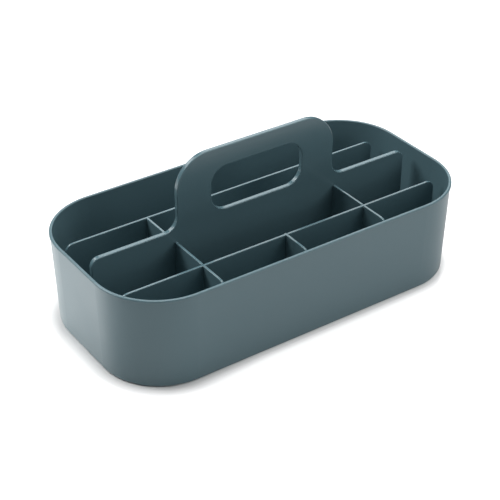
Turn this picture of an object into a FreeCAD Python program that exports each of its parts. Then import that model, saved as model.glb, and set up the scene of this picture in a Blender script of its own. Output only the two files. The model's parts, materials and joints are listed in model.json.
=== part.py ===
"""Tool storage caddy: a rounded tub with a lift-out crate of interlocking dividers and a carrying handle.

Millimetres. +X runs along the caddy to the right, +Y to the rear and +Z up. The origin is the middle of
the base, on the surface that the caddy stands on.
"""
import FreeCAD, Part
import math
import os

V = FreeCAD.Vector

# Tub: the outer sizes are taken at the lip
tub_length = 340.0
tub_width = 174.0
tub_height = 83.5
corner_radius = 57.5
base_inset = 3.2        # how far the base stands in from the lip, all round
wall = 2.0
lip_overhang = 0.7
lip_height = 2.4
lip_outer_round = 1.1
lip_inner_round = 0.8
lip_under_round = 0.25
base_edge_round = 2.5
floor_thickness = 2.5
inner_floor_round = 3.0
foot_width = 9.0
foot_recess = 0.8       # the base is hollowed this much inside the foot ring
foot_inner_round = 0.3

# Sockets on the floor that hold the ends of the long plates
socket_wall = 1.6
socket_height = 5.0
socket_length = 12.0
socket_round = 0.6

# Crate of dividers
end_gap = 10.3          # from the crate to the inside of the lip, at the ends and the front
divider_thickness = 2.2
divider_drop = 10.3     # the thin dividers stand this much lower than the lip
divider_corner_radius = 8.0
divider_edge_round = 0.5
long_divider_offset = 43.1
cross_divider_offset = 80.1
tail_length = 3.0       # a T joint's tail, past the plate that it hooks round
tail_drop = 8.0         # how far below the dividers' top edge the tail stops

# Handle board
board_thickness = 4.4
board_edge_round = 0.9
board_corner_radius = 8.0
slot_length = 90.0
slot_height = 40.0
slot_rise = 4.7         # hand slot's lower edge above the board's shoulders
slot_corner_radius = 15.0
upright_width = 32.5
grip_height = 17.8
handle_corner_radius = 30.0
shoulder_radius = 12.0

# Fits
seat_clearance = 0.2    # between a plate's lower edge and the floor
socket_clearance = 0.3
lap_clearance = 0.25    # beside a plate in the slot of another
lap_gap = 0.3           # between the two slots of a half lap, one above the other

# Worked-out sizes
corner_x = tub_length / 2 - corner_radius
corner_y = tub_width / 2 - corner_radius
lip_thickness = wall + lip_overhang
base_radius = corner_radius - base_inset
foot_radius = base_radius - foot_width
lip_bottom = tub_height - lip_height
floor_top = foot_recess + floor_thickness
wall_lean = (base_inset - lip_overhang) / lip_bottom
inner_floor_radius = base_radius + wall_lean * floor_top - wall
crate_half_length = tub_length / 2 - lip_thickness - end_gap
cross_front = -(tub_width / 2 - lip_thickness - end_gap)
plate_bottom = floor_top + seat_clearance
divider_top = tub_height - divider_drop
lap_height = (plate_bottom + divider_top) / 2
tail_top = divider_top - tail_drop
slot_bottom = tub_height + slot_rise
slot_top = slot_bottom + slot_height
handle_top = slot_top + grip_height
handle_half_width = slot_length / 2 + upright_width
through = 2 * (tub_length + tub_width + handle_top)     # longer than any piece


def rounded_wire(corners, place):
    """Closed wire through corners (a, b, radius); place(a, b) gives the point in space."""
    count = len(corners)
    starts = []
    middles = []
    ends = []
    for i in range(count):
        a, b, radius = corners[i]
        a0, b0 = corners[i - 1][:2]
        a1, b1 = corners[(i + 1) % count][:2]
        before = math.hypot(a0 - a, b0 - b)
        after = math.hypot(a1 - a, b1 - b)
        ua, ub = (a0 - a) / before, (b0 - b) / before
        va, vb = (a1 - a) / after, (b1 - b) / after
        half = math.acos(ua * va + ub * vb) / 2
        cut = radius / math.tan(half)
        starts.append((a + ua * cut, b + ub * cut))
        ends.append((a + va * cut, b + vb * cut))
        ma, mb = ua + va, ub + vb
        reach = (radius / math.sin(half) - radius) / math.hypot(ma, mb)
        middles.append((a + ma * reach, b + mb * reach))
    edges = []
    for i in range(count):
        if corners[i][2] > 0:
            edges.append(Part.Arc(place(*starts[i]), place(*middles[i]), place(*ends[i])).toShape())
        edges.append(Part.LineSegment(place(*ends[i]), place(*starts[(i + 1) % count])).toShape())
    return Part.Wire(edges)


def slab(corners, axis, middle, thickness):
    """Flat piece of an outline; axis is the way its thickness runs, and middle is its mid plane."""
    low = middle - thickness / 2
    if axis == "x":
        wire = rounded_wire(corners, lambda a, b: V(low, a, b))
        push = V(thickness, 0, 0)
    elif axis == "y":
        wire = rounded_wire(corners, lambda a, b: V(a, low, b))
        push = V(0, thickness, 0)
    else:
        wire = rounded_wire(corners, lambda a, b: V(a, b, low))
        push = V(0, 0, thickness)
    return Part.Face(wire).extrude(push)


def block(x0, x1, y0, y1, z0, z1):
    return Part.makeBox(x1 - x0, y1 - y0, z1 - z0, V(x0, y0, z0))


def around(x, width):
    """The two ends of a span of this width about x."""
    return x - width / 2, x + width / 2


def ease_faces(plate, axis, radius, lowest):
    """Round the edges of a plate's two broad faces, above the height lowest."""
    edges = []
    for edge in plate.Edges:
        box = edge.BoundBox
        flat = box.XLength if axis == "x" else box.YLength
        if flat < 0.01 and box.ZMax > lowest + 0.01:
            edges.append(edge)
    return plate.makeFillet(radius, edges)


def wall_ring():
    """The tub's wall, lip and foot: one section taken round the oblong."""
    section = [
        (foot_radius, 0, foot_inner_round),
        (base_radius, 0, base_edge_round),
        (corner_radius - lip_overhang, lip_bottom, lip_under_round),
        (corner_radius, lip_bottom, lip_under_round),
        (corner_radius, tub_height, lip_outer_round),
        (corner_radius - lip_thickness, tub_height, lip_inner_round),
        (inner_floor_radius, floor_top, inner_floor_round),
        (foot_radius, floor_top, 0),
    ]
    pieces = []
    for quarter in range(4):
        turn = math.pi / 2 * quarter
        c, s = round(math.cos(turn)), round(math.sin(turn))
        x = corner_x if quarter in (0, 3) else -corner_x
        y = corner_y if quarter in (0, 1) else -corner_y
        wire = rounded_wire(section, lambda r, z: V(x + r * c, y + r * s, z))
        face = Part.Face(wire)
        pieces.append(face.revolve(V(x, y, 0), V(0, 0, 1), 90))
        straight = 2 * corner_y if quarter in (0, 2) else 2 * corner_x
        pieces.append(face.extrude(V(s * straight, -c * straight, 0)))
    return pieces


def oblong(radius):
    """Corners of a rounded oblong that shares the tub's corner centres."""
    x, y = corner_x + radius, corner_y + radius
    return [(-x, -y, radius), (x, -y, radius), (x, y, radius), (-x, y, radius)]


def socket(side, y, thickness):
    """Low U-shaped socket that takes one end of a long plate; side is -1 at the left end, 1 at the right."""
    gap = thickness + 2 * socket_clearance
    inner = crate_half_length - socket_length
    end = crate_half_length + socket_clearance
    outer = end + socket_wall
    y0, y1 = around(y, gap + 2 * socket_wall)
    z0, z1 = floor_top - floor_thickness / 2, floor_top + socket_height
    outside = block(inner, outer, y0, y1, z0, z1)
    uprights = [e for e in outside.Edges if e.BoundBox.ZLength > 0.01]
    outside = outside.makeFillet(socket_round, uprights)
    u_shape = outside.cut(block(inner - socket_wall, end, *around(y, gap), floor_top, z1 + socket_wall))
    if side < 0:
        u_shape = u_shape.mirror(V(0, 0, 0), V(1, 0, 0))
    return u_shape


def make_tub():
    floor = slab(oblong(foot_radius), "z", foot_recess + floor_thickness / 2, floor_thickness)
    sockets = []
    for side in (-1, 1):
        sockets.append(socket(side, 0, board_thickness))
        for y in (-long_divider_offset, long_divider_offset):
            sockets.append(socket(side, y, divider_thickness))
    return floor.fuse(wall_ring() + sockets).removeSplitter()


def lap_from_below(plate, x):
    """Cut the lower slot of a half lap, for a cross divider at x."""
    width = divider_thickness + 2 * lap_clearance
    return plate.cut(block(*around(x, width), -through, through, -through, lap_height + lap_gap / 2))


def lap_from_above(cross, y, thickness):
    """Cut the upper slot of a half lap, for a long plate at y."""
    width = thickness + 2 * lap_clearance
    return cross.cut(block(-through, through, *around(y, width), lap_height - lap_gap / 2, through))


def make_handle_board():
    x = crate_half_length
    handle = handle_half_width
    outline = [
        (-x, plate_bottom, 0),
        (x, plate_bottom, 0),
        (x, tub_height, board_corner_radius),
        (handle, tub_height, shoulder_radius),
        (handle, handle_top, handle_corner_radius),
        (-handle, handle_top, handle_corner_radius),
        (-handle, tub_height, shoulder_radius),
        (-x, tub_height, board_corner_radius),
    ]
    half = slot_length / 2
    hand_slot = [(-half, slot_bottom), (half, slot_bottom), (half, slot_top), (-half, slot_top)]
    hand_slot = [(a, b, slot_corner_radius) for a, b in hand_slot]
    board = slab(outline, "y", 0, board_thickness).cut(slab(hand_slot, "y", 0, through))
    board = ease_faces(board, "y", board_edge_round, plate_bottom)
    for side in (-1, 1):
        board = lap_from_below(board, side * cross_divider_offset)
    return board


def make_long_divider(y):
    x = crate_half_length
    outline = [
        (-x, plate_bottom, 0),
        (x, plate_bottom, 0),
        (x, divider_top, divider_corner_radius),
        (-x, divider_top, divider_corner_radius),
    ]
    divider = slab(outline, "y", y, divider_thickness)
    divider = ease_faces(divider, "y", divider_edge_round, plate_bottom)
    for side in (-1, 1):
        divider = lap_from_below(divider, side * cross_divider_offset)
    return divider


def make_front_long_divider():
    """The front one has a slot in its top edge as well, where the short cross divider hooks in."""
    divider = make_long_divider(-long_divider_offset)
    width = divider_thickness + 2 * lap_clearance
    return divider.cut(block(*around(0, width), -through, through, lap_height - lap_gap / 2, through))


def cross_blank(x, rear):
    """Upright plate across the tub, from its rounded front corner back to rear."""
    outline = [
        (cross_front, plate_bottom, 0),
        (rear, plate_bottom, 0),
        (rear, divider_top, 0),
        (cross_front, divider_top, divider_corner_radius),
    ]
    blank = slab(outline, "x", x, divider_thickness)
    return ease_faces(blank, "x", divider_edge_round, plate_bottom)


def hook_face(y):
    """Where a tail begins, behind a long divider at y."""
    return y + divider_thickness / 2 + lap_clearance


def make_cross_divider(x):
    """Its slots open upwards, so that the long plates drop into them."""
    tail_start = hook_face(long_divider_offset)
    cross = cross_blank(x, tail_start + tail_length)
    for y in (-long_divider_offset, long_divider_offset):
        cross = lap_from_above(cross, y, divider_thickness)
    cross = lap_from_above(cross, 0, board_thickness)
    above_tail = block(-through, through, tail_start, through, tail_top, through)
    return cross.cut(above_tail)


def make_short_cross_divider():
    """It hooks over the front long divider from above, so its slot opens downwards."""
    y = -long_divider_offset
    tail_start = hook_face(y)
    width = divider_thickness + 2 * lap_clearance
    short = cross_blank(0, tail_start + tail_length)
    short = short.cut(block(-through, through, *around(y, width), -through, lap_height + lap_gap / 2))
    return short.cut(block(-through, through, tail_start, through, tail_top, through))


pieces = {
    "tub": make_tub(),
    "handle_board": make_handle_board(),
    "front_long_divider": make_front_long_divider(),
    "rear_long_divider": make_long_divider(long_divider_offset),
    "left_cross_divider": make_cross_divider(-cross_divider_offset),
    "right_cross_divider": make_cross_divider(cross_divider_offset),
    "short_cross_divider": make_short_cross_divider(),
}

os.makedirs("parts", exist_ok=True)
for name, shape in pieces.items():
    shape.exportStep(f"parts/{name}.step")
    box = shape.optimalBoundingBox()
    size = f"{box.XLength:.1f} x {box.YLength:.1f} x {box.ZLength:.1f} mm"
    print(f"{name}: {size}, {shape.Volume / 1000:.1f} cm3, solids {len(shape.Solids)}, valid {shape.isValid()}")
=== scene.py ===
# %% [markdown]
# # A tool caddy in satin slate-teal plastic
#
# The object is a moulded caddy: a rounded oblong tub, and standing in it a crate of thin dividers
# around one thick board that rises into the carrying handle. Its shapes are already settled in the
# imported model, so this lesson is about looks: a camera, a white table, studio light, and a plastic
# that behaves as moulded plastic does when light rakes across it.
#
# Everything here is in metres, with X along the caddy, Y across it towards the rear wall, and Z up.

# %% Start from an empty stage and load the caddy
import json
import math

import bpy
from mathutils import Matrix, Vector

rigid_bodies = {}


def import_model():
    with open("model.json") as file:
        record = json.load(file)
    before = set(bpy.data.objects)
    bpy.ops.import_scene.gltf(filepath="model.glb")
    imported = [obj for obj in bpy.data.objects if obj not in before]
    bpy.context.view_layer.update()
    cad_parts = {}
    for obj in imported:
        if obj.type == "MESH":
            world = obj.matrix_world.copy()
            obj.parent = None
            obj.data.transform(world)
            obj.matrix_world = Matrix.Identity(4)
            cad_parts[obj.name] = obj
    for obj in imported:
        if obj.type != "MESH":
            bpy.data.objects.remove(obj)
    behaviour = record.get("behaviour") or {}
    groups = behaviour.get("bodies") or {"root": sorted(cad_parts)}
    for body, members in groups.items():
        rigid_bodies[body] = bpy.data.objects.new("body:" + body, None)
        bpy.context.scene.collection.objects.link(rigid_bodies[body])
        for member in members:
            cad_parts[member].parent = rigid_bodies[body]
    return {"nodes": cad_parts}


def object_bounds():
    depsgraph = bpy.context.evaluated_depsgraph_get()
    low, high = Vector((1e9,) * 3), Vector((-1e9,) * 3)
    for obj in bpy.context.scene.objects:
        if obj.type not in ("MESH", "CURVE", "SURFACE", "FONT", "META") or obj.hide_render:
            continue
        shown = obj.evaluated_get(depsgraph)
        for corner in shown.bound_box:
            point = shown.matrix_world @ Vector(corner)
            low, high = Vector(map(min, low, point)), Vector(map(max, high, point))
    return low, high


for leftover in list(bpy.data.objects):
    bpy.data.objects.remove(leftover)

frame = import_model()
cad_low, cad_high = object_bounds()
print("pieces:", ", ".join(sorted(frame["nodes"])))
print("caddy box in mm:", [round(1000 * side, 1) for side in cad_high - cad_low])

# %% [markdown]
# ## The camera
#
# A product photograph of a caddy is taken from a long way off with a long lens, so that the straight
# sides stay nearly parallel. The view here stands to the left of the front wall and looks down by a
# third of a right angle. The camera could be aimed with a constraint, but a small matrix built from
# three directions (right, up and back) is easier to read and leaves nothing to be solved later.

# %% Camera
view_azimuth = math.radians(-34.542)
view_elevation = math.radians(33.036)
view_distance = 1.145517
view_target = Vector((0.0, 0.0, 0.05))
slide_right = -0.005011
slide_up = -0.012933

back = Vector((
    math.sin(view_azimuth) * math.cos(view_elevation),
    -math.cos(view_azimuth) * math.cos(view_elevation),
    math.sin(view_elevation),
))
right = Vector((math.cos(view_azimuth), math.sin(view_azimuth), 0.0))
up = back.cross(right)

camera_data = bpy.data.cameras.new("studio_camera")
camera_data.sensor_width = 36.0
camera_data.lens = 97.767
camera = bpy.data.objects.new("studio_camera", camera_data)
bpy.context.scene.collection.objects.link(camera)
camera.matrix_world = Matrix.Translation(
    view_target + back * view_distance + right * slide_right + up * slide_up
) @ Matrix((right, up, back)).transposed().to_4x4()
bpy.context.scene.camera = camera
print("camera stands at", [round(value, 3) for value in camera.matrix_world.translation])

# %% [markdown]
# ## Wiring nodes by hand
#
# Every finish below is a small graph of shader nodes. A few helpers keep the graphs readable. They add a
# node with a label and its values, do a sum, or map one range of values to another, and the last one
# opens a node group with named sockets. A group is a finish effect made once and used in several
# materials, each with its own numbers.

# %% Helpers for node graphs
def put(tree, kind, label, **values):
    """Adds a labelled node; values go to the inputs of those names, with _ for a space."""
    node = tree.nodes.new(kind)
    node.label = label
    for name, value in values.items():
        node.inputs[name.replace("_", " ")].default_value = value
    return node


def feed(tree, socket, value):
    """Gives an input its value: a link from another node's socket, or a plain number."""
    if isinstance(value, bpy.types.NodeSocket):
        tree.links.new(value, socket)
    else:
        socket.default_value = value


def calculate(tree, operation, label, first, second=0.0):
    """Adds a Math node; first and second are sockets or plain numbers."""
    node = put(tree, "ShaderNodeMath", label)
    node.operation = operation
    feed(tree, node.inputs[0], first)
    feed(tree, node.inputs[1], second)
    return node.outputs[0]


def ramp(tree, label, value, start, end, low=0.0, high=1.0):
    """Adds a Map Range node: low until value reaches start, and high from end on."""
    node = put(tree, "ShaderNodeMapRange", label)
    feed(tree, node.inputs["Value"], value)
    feed(tree, node.inputs["From Min"], start)
    feed(tree, node.inputs["From Max"], end)
    feed(tree, node.inputs["To Min"], low)
    feed(tree, node.inputs["To Max"], high)
    return node.outputs["Result"]


def open_group(name, inputs, outputs):
    """Starts a node group; returns it with its entry and exit nodes."""
    group = bpy.data.node_groups.new(name, "ShaderNodeTree")
    for title, kind, value in inputs:
        socket = group.interface.new_socket(title, in_out="INPUT", socket_type=kind)
        socket.default_value = value
    for title, kind in outputs:
        group.interface.new_socket(title, in_out="OUTPUT", socket_type=kind)
    return group, group.nodes.new("NodeGroupInput"), group.nodes.new("NodeGroupOutput")


print("five helpers are ready")

# %% [markdown]
# ## The white table
#
# The caddy stands on a white satin table that burns out to plain white except for a soft shadow along
# the
# foot: the lamps light it, and glow painted onto the table does the rest. The outer walls lean out a
# little, so what they mirror is the table close to the caddy: a wall looks bright where the table in
# front of it is bright. A matte table would give a flat reflection, so this one has a slight gloss. A
# flat mesh of one face is enough.

# %% Table
table_half = 4.0
table_corners = [
    (-table_half, -table_half, 0.0),
    (table_half, -table_half, 0.0),
    (table_half, table_half, 0.0),
    (-table_half, table_half, 0.0),
]

table_mesh = bpy.data.meshes.new("white_table")
table_mesh.from_pydata(table_corners, [], [(0, 1, 2, 3)])
table = bpy.data.objects.new("white_table", table_mesh)
bpy.context.scene.collection.objects.link(table)

table_laminate = bpy.data.materials.new("white_table_laminate")
table_laminate.use_nodes = True
table_shader = table_laminate.node_tree.nodes["Principled BSDF"]
table_shader.inputs["Base Color"].default_value = (0.76, 0.76, 0.76, 1.0)
table_shader.inputs["Roughness"].default_value = 0.22
table_shader.inputs["Emission Color"].default_value = (1.0, 1.0, 1.0, 1.0)
table_mesh.materials.append(table_laminate)
print("table side in m:", 2 * table_half)

# %% [markdown]
# ## The glow that the walls mirror
#
# White laminate in a bright studio sends light back from all sides. Here the patch beside the tub's left
# end
# is painted light: the table glows there by itself, much the brightest. The left wall mirrors that glow
# as a painted reflection, which makes it the palest part of the caddy, as on the real one. More lamps
# could light the patch, but their light would fall into the dark bays as well, so the table glows a
# little by itself.

# %% Glow that the walls mirror
patch_begins = cad_low.x + 0.02
patch_is_full = cad_low.x - 0.006
patch_front = -0.05
patch_rear = 0.05
patch_strength = 0.82
table_strength = 0.1

table_tree = table_laminate.node_tree
spot = table_tree.nodes.new("ShaderNodeSeparateXYZ")
table_tree.links.new(table_tree.nodes.new("ShaderNodeTexCoord").outputs["Object"], spot.inputs[0])
spot_along = spot.outputs["X"]
spot_across = spot.outputs["Y"]

# Painted light: a glowing patch on the table beside the left end, which the left wall mirrors as a
# painted reflection.
beside_tub = ramp(table_tree, "left of the tub", spot_along, patch_begins, patch_is_full)
behind_front = ramp(table_tree, "not in front of it", spot_across, patch_front, patch_rear)
painted_glow_patch = calculate(table_tree, "MULTIPLY", "painted glow patch", beside_tub, behind_front)
patch_glow = calculate(table_tree, "MULTIPLY", "patch glow", painted_glow_patch, patch_strength)
mirrored_glow = calculate(table_tree, "ADD", "glow that the walls mirror", patch_glow, table_strength)
print("the bright patch begins at x =", round(patch_begins, 3), "m")

# %% [markdown]
# ## The distance from the foot
#
# The shadow along the foot is partly painted, and the painted part follows the foot, which is a rounded
# oblong, so the next step needs to know how far a spot on the table lies from it. A picture of the
# shadow would have
# to be painted and placed. A sum is exact: take how far the spot lies past the middle of the nearest
# corner, along and across, count what lies inside as nothing, and take the corner's radius off the
# length of the two together.

# %% Distance from the foot
corner_radius = 0.0575
foot_radius = 0.0543
half_sides = {"X": cad_high.x - corner_radius, "Y": cad_high.y - corner_radius}

past_corner = table_tree.nodes.new("ShaderNodeCombineXYZ")
for side, half_side in half_sides.items():
    either_way = calculate(table_tree, "ABSOLUTE", "either way", spot.outputs[side])
    past = calculate(table_tree, "SUBTRACT", "past the corner's middle", either_way, half_side)
    table_tree.links.new(
        calculate(table_tree, "MAXIMUM", "nothing if inside", past, 0.0),
        past_corner.inputs[side],
    )

reach = table_tree.nodes.new("ShaderNodeVectorMath")
reach.operation = "LENGTH"
table_tree.links.new(past_corner.outputs["Vector"], reach.inputs[0])
from_foot = calculate(
    table_tree, "SUBTRACT", "distance from the foot", reach.outputs["Value"], foot_radius
)
print("the foot's corners have their middles at", [round(half, 4) for half in half_sides.values()], "m")

# %% [markdown]
# ## The glow that the camera sees
#
# A burnt-out white table swallows most of a shadow. Here the camera finds a lift in brightness, glow
# painted onto the table, that leaves only a narrow shadow along the foot. The lift is lower close to the
# foot, and lower and wider towards the left, which paints the shadow deeper and wider there. It ends in
# plain white far away, so that a low view shows no dark horizon.
#
# A Light Path node tells who is looking: the camera finds this lift, and rays that bounce off the caddy
# find the patch from before. Stronger lamps would burn out the table too, but the caddy with it.

# %% Glow that the camera sees
left_begins = -0.05
left_is_full = -0.14
shadow_begins = 0.002
shadow_width_right = 0.0085
shadow_width_left = 0.015
foot_lift_right = 0.15
foot_lift_left = 0.0
lift_past_shadow = 0.57
white_begins = 0.3
white_is_full = 1.2
white_lift = 0.6

# Painted shadow: the camera's lift is lower near the foot, lowest and widest towards the left.
leftward = ramp(table_tree, "towards the left", spot_along, left_begins, left_is_full)
foot_lift = ramp(table_tree, "lift at the foot", leftward, 0.0, 1.0, foot_lift_right, foot_lift_left)
shadow_ends = ramp(
    table_tree, "where the shadow ends", leftward, 0.0, 1.0, shadow_width_right, shadow_width_left
)
near_lift = ramp(
    table_tree, "lift near the foot", from_foot, shadow_begins, shadow_ends, foot_lift, lift_past_shadow
)
far_lift = ramp(table_tree, "white far away", from_foot, white_begins, white_is_full, 0.0, white_lift)
seen_glow = calculate(table_tree, "ADD", "glow that the camera sees", near_lift, far_lift)

which_glow = table_tree.nodes.new("ShaderNodeMix")
which_glow.label = "seen or mirrored"
seen_directly = table_tree.nodes.new("ShaderNodeLightPath").outputs["Is Camera Ray"]
table_tree.links.new(seen_directly, which_glow.inputs["Factor"])
table_tree.links.new(mirrored_glow, which_glow.inputs["A"])
table_tree.links.new(seen_glow, which_glow.inputs["B"])
table_tree.links.new(which_glow.outputs["Result"], table_shader.inputs["Emission Strength"])
print("the table turns white", white_is_full, "m from the foot")

# %% [markdown]
# ## The studio light
#
# Soft light comes from large panels, and each one here has a job. The overhead panels fill the bays.
# The rear panels stand high behind the caddy, where the top edges of the dividers and the lip mirror
# them towards the camera as thin pale lines. The front panels lift the shade on the walls that face us,
# the low one from close to the table. Small bare lamps would be simpler, but they make hard shadows and
# pinprick highlights that moulded plastic in a studio never shows.
#
# The panels are kept out of the camera's own rays, so a view from another side never shows a glowing
# rectangle, but they still light the caddy and show in its gloss.

# %% Softboxes
middle_of_tub = Vector((0.0, 0.0, 0.04))


def softbox(name, place, width, height, power):
    """A soft rectangular lamp that looks at the middle of the tub."""
    lamp = bpy.data.lights.new(name, "AREA")
    lamp.shape = "RECTANGLE"
    lamp.size = width
    lamp.size_y = height
    lamp.energy = power
    holder = bpy.data.objects.new(name, lamp)
    bpy.context.scene.collection.objects.link(holder)
    holder.location = place
    holder.rotation_euler = (middle_of_tub - Vector(place)).to_track_quat("-Z", "Y").to_euler()
    holder.visible_camera = False
    return holder


panels = [
    softbox("overhead_panel", (0.0, 0.0, 1.5), 1.0, 1.0, 15.5),
    softbox("overhead_right_panel", (0.8, 0.1, 1.3), 0.6, 0.9, 4.3),
    softbox("rear_right_panel", (0.787, 1.007, 1.003), 0.9, 0.7, 5.4),
    softbox("rear_left_panel", (-0.531, 0.999, 1.171), 0.7, 0.6, 7.7),
    softbox("left_rear_panel", (-0.876, 0.66, 1.063), 0.55, 0.5, 9.0),
    softbox("front_right_panel", (0.809, -0.964, 0.857), 0.9, 0.9, 5.3),
    softbox("low_front_panel", (0.27, -1.529, 0.427), 1.6, 0.4, 2.5),
]
for panel in panels:
    print(panel.name, "gives", round(panel.data.energy, 1), "W")

# %% [markdown]
# ## The white surround
#
# Past the edge of the table there is only white paper. It is seen, but it should not light the bays,
# which are deep and dark on the real caddy. A Light Path node in the world tells the two apart: rays
# from the camera find white, and all other rays find almost nothing. The picture is shown with the
# Standard view, because a filmic curve would turn the burnt-out table grey.

# %% Surround
world = bpy.data.worlds.new("white_surround")
world.use_nodes = True
world_nodes = world.node_tree.nodes
paper = world_nodes["Background"]
paper.inputs["Color"].default_value = (1.0, 1.0, 1.0, 1.0)
ray_kind = world_nodes.new("ShaderNodeLightPath").outputs["Is Camera Ray"]
light_in_bays = 0.03
paper_glow = ramp(world.node_tree, "seen or felt", ray_kind, 0.0, 1.0, light_in_bays, 1.0)
world.node_tree.links.new(paper_glow, paper.inputs["Strength"])
bpy.context.scene.world = world
bpy.context.scene.view_settings.view_transform = "Standard"
print("view transform:", bpy.context.scene.view_settings.view_transform)

# %% [markdown]
# ## Moulded grain
#
# The steel of the mould is spark-eroded before the plastic ever meets it, and that leaves a fine,
# even grain of shallow pits about half a millimetre across. From a metre away nobody sees a pit: what
# shows is the satin gloss. Close up the pits break the highlights into a fine sparkle. An image would
# need unwrapping and would blur, so a Voronoi texture makes the pits and a Noise texture roughens
# them. A second, much larger noise says where the gloss is a little higher or lower, as the mould
# wears unevenly.

# %% Group: moulded grain
fuzz_fineness = 1.7
pit_share = 0.6
fuzz_share = 0.4

grain_group, entry, leave = open_group(
    "moulded_grain",
    [("Grain Size", "NodeSocketFloat", 0.0005), ("Gloss Patch Size", "NodeSocketFloat", 0.03)],
    [("Height", "NodeSocketFloat"), ("Gloss Patches", "NodeSocketFloat")],
)
links = grain_group.links
place_on_caddy = grain_group.nodes.new("ShaderNodeTexCoord").outputs["Object"]
grains_per_metre = calculate(grain_group, "DIVIDE", "grains per metre", 1.0, entry.outputs["Grain Size"])
patches_per_metre = calculate(
    grain_group, "DIVIDE", "patches per metre", 1.0, entry.outputs["Gloss Patch Size"]
)
fuzz_per_metre = calculate(grain_group, "MULTIPLY", "finer", grains_per_metre, fuzz_fineness)

pits = put(grain_group, "ShaderNodeTexVoronoi", "spark pits", Randomness=1.0)
roughened = put(grain_group, "ShaderNodeTexNoise", "roughened pits", Detail=2.0, Roughness=0.6)
patches = put(grain_group, "ShaderNodeTexNoise", "gloss patches", Detail=3.0, Roughness=0.55)
links.new(place_on_caddy, pits.inputs["Vector"])
links.new(place_on_caddy, roughened.inputs["Vector"])
links.new(place_on_caddy, patches.inputs["Vector"])
links.new(grains_per_metre, pits.inputs["Scale"])
links.new(fuzz_per_metre, roughened.inputs["Scale"])
links.new(patches_per_metre, patches.inputs["Scale"])

pit_depth = calculate(grain_group, "MULTIPLY", "pit depth", pits.outputs["Distance"], pit_share)
fuzz = calculate(grain_group, "MULTIPLY", "fuzz", roughened.outputs["Fac"], fuzz_share)
links.new(calculate(grain_group, "ADD", "grain height", pit_depth, fuzz), leave.inputs["Height"])
links.new(patches.outputs["Fac"], leave.inputs["Gloss Patches"])
print("moulded_grain has", len(grain_group.nodes), "nodes")

# %% [markdown]
# ## Pigment drift
#
# Coloured plastic is never one flat colour. The pigment is stirred into the melt, and as the melt runs
# along the walls it leaves broad, faint clouds drawn out along the flow, with tiny darker specks where
# pigment grains did not break up. Painting that by hand is pointless on a shape this plain. A stretched
# Noise makes the clouds, a fine one makes the specks, and both only nudge the brightness of the colour
# by a few parts in a hundred.

# %% Group: pigment drift
drift_group, entry, leave = open_group(
    "pigment_drift",
    [("Colour", "NodeSocketColor", (0.05, 0.1, 0.12, 1.0)), ("Drift", "NodeSocketFloat", 0.06)],
    [("Colour", "NodeSocketColor")],
)
links = drift_group.links
place_on_caddy = drift_group.nodes.new("ShaderNodeTexCoord").outputs["Object"]
along_flow = put(drift_group, "ShaderNodeMapping", "along the flow", Scale=(8.0, 8.0, 20.0))
clouds = put(drift_group, "ShaderNodeTexNoise", "flow clouds", Scale=1.0, Detail=4.0, Roughness=0.5)
specks = put(drift_group, "ShaderNodeTexNoise", "pigment specks", Scale=1500.0, Detail=1.0)
links.new(place_on_caddy, along_flow.inputs["Vector"])
links.new(along_flow.outputs["Vector"], clouds.inputs["Vector"])
links.new(place_on_caddy, specks.inputs["Vector"])

both = calculate(drift_group, "ADD", "clouds and specks", clouds.outputs["Fac"], specks.outputs["Fac"])
swing = calculate(drift_group, "SUBTRACT", "around zero", both, 1.0)
nudge = calculate(drift_group, "MULTIPLY", "a few parts in a hundred", swing, entry.outputs["Drift"])
brightness = calculate(drift_group, "ADD", "brightness", nudge, 1.0)
shaded = put(drift_group, "ShaderNodeHueSaturation", "nudged colour")
links.new(entry.outputs["Colour"], shaded.inputs["Color"])
links.new(brightness, shaded.inputs["Value"])
links.new(shaded.outputs["Color"], leave.inputs["Colour"])
print("pigment_drift has", len(drift_group.nodes), "nodes")

# %% [markdown]
# ## Painted edge highlight
#
# Along its edges a satin plastic catches the light in thin pale lines. Here the edges are painted a
# shade paler, a painted highlight, and their grain is polished to a little more gloss. Blender could
# find edges from the bend of the mesh, but that depends on where the vertices lie. The Bevel node asks a
# better question. It says which way the surface would face if its edges were rounded off, and where that
# differs from the true direction there is an edge. A noise breaks the line up.

# %% Group: painted edge highlight and polish
highlight_and_polish_group, entry, leave = open_group(
    "edge_highlight_and_polish",
    [("Reach", "NodeSocketFloat", 0.0008)],
    [("Mask", "NodeSocketFloat")],
)
links = highlight_and_polish_group.links
place_on_caddy = highlight_and_polish_group.nodes.new("ShaderNodeTexCoord").outputs["Object"]
true_facing = highlight_and_polish_group.nodes.new("ShaderNodeNewGeometry").outputs["Normal"]
rounded = highlight_and_polish_group.nodes.new("ShaderNodeBevel")
rounded.label = "edges rounded off"
rounded.samples = 6
links.new(entry.outputs["Reach"], rounded.inputs["Radius"])

agreement = highlight_and_polish_group.nodes.new("ShaderNodeVectorMath")
agreement.operation = "DOT_PRODUCT"
links.new(rounded.outputs["Normal"], agreement.inputs[0])
links.new(true_facing, agreement.inputs[1])
edge = ramp(highlight_and_polish_group, "edge", agreement.outputs["Value"], 1.0, 0.9)

edge_breakup = put(highlight_and_polish_group, "ShaderNodeTexNoise", "edge_breakup", Scale=240.0, Detail=4.0, Roughness=0.65)
links.new(place_on_caddy, edge_breakup.inputs["Vector"])
broken = ramp(highlight_and_polish_group, "broken up", edge_breakup.outputs["Fac"], 0.4, 0.65)
# The mask paints the edges paler as a painted highlight, and polishes them in the roughness.
links.new(calculate(highlight_and_polish_group, "MULTIPLY", "rubbed", edge, broken), leave.inputs["Mask"])
print("edge_highlight_and_polish has", len(highlight_and_polish_group.nodes), "nodes")

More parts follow.
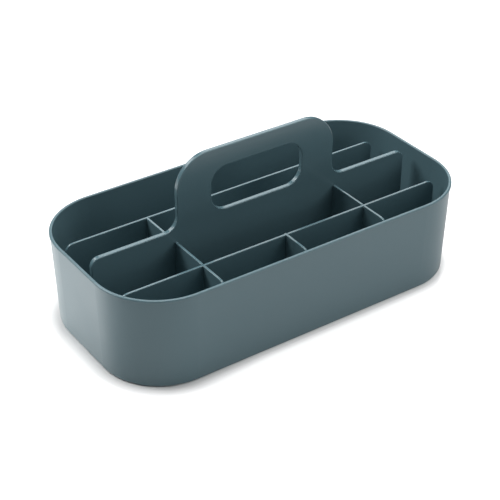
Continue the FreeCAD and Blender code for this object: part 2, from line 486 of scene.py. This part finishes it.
# %% [markdown]
# ## The plastic
#
# Tub and crate are run in one colour, a dark slate teal, but from two moulds. The tub is the larger,
# with a slightly coarser grain on it. The crate's flat plates come off a finer steel and are a touch
# glossier: near the top of the handle they mirror the white table beyond the front wall as a pale
# strip. One function mixes the three effects into a Principled shader, and each moulding gives it its
# own numbers. Gloss comes from the shader alone, so it stays right from every side.

# %% Satin plastic
slate_teal = (0.0897, 0.1575, 0.1818, 1.0)
# Painted highlight: the paler teal that the edges are mixed towards.
edge_highlight_teal = (0.16, 0.25, 0.28, 1.0)
edge_highlight_strength = 0.3
rubbed_polish = 0.06


def place_group(tree, group, **values):
    """Places a node group in a material, with this material's own values."""
    node = tree.nodes.new("ShaderNodeGroup")
    node.node_tree = group
    node.label = group.name
    for name, value in values.items():
        node.inputs[name.replace("_", " ")].default_value = value
    return node


def satin_plastic(name, grain_size, grain_depth, smoothest, roughest):
    """A moulded satin plastic with grain, drifting pigment, and edges with a painted highlight and a
    little polish.
    """
    plastic = bpy.data.materials.new(name)
    plastic.use_nodes = True
    tree = plastic.node_tree
    links = tree.links
    shader = tree.nodes["Principled BSDF"]
    shader.inputs["IOR"].default_value = 1.5
    grain = place_group(tree, grain_group, Grain_Size=grain_size)
    drift = place_group(tree, drift_group, Colour=slate_teal)
    edge_mask = place_group(tree, highlight_and_polish_group)

    # Painted highlight: the edges are mixed a shade towards a paler teal.
    paler = tree.nodes.new("ShaderNodeMix")
    paler.data_type = "RGBA"
    paler.label = "painted highlight on edges"
    base_colour = paler.inputs[6]
    highlight_colour = paler.inputs[7]
    mixed_colour = paler.outputs[2]
    highlight_colour.default_value = edge_highlight_teal
    painted_highlight = calculate(tree, "MULTIPLY", "painted_highlight", edge_mask.outputs["Mask"], edge_highlight_strength)
    links.new(drift.outputs["Colour"], base_colour)
    links.new(painted_highlight, paler.inputs["Factor"])
    links.new(mixed_colour, shader.inputs["Base Color"])

    satin = ramp(tree, "satin", grain.outputs["Gloss Patches"], 0.0, 1.0, smoothest, roughest)
    polish = calculate(tree, "MULTIPLY", "polish", edge_mask.outputs["Mask"], rubbed_polish)
    roughness = calculate(tree, "SUBTRACT", "polished edges", satin, polish)
    links.new(roughness, shader.inputs["Roughness"])

    relief = put(tree, "ShaderNodeBump", "relief", Strength=1.0, Distance=grain_depth)
    links.new(grain.outputs["Height"], relief.inputs["Height"])
    links.new(relief.outputs["Normal"], shader.inputs["Normal"])
    print(name, "has", len(tree.nodes), "nodes")
    return plastic


tub_plastic = satin_plastic("tub_satin_plastic", 0.0005, 0.000004, 0.26, 0.37)
crate_plastic = satin_plastic("crate_satin_plastic", 0.0004, 0.000003, 0.15, 0.26)

# %% [markdown]
# ## Dressing the mouldings
#
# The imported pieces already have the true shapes: drafted walls, rolled lip, rounded plate edges, and
# the laps where the plates cross. There is nothing to remodel, so each keeps its mesh and takes its
# plastic. The crate is every piece except the tub.

# %% Give each moulding its plastic
for name, moulding in frame["nodes"].items():
    plastic = tub_plastic if name == "tub" else crate_plastic
    for holder in moulding.material_slots:
        holder.material = plastic
    print(name, "wears", plastic.name)
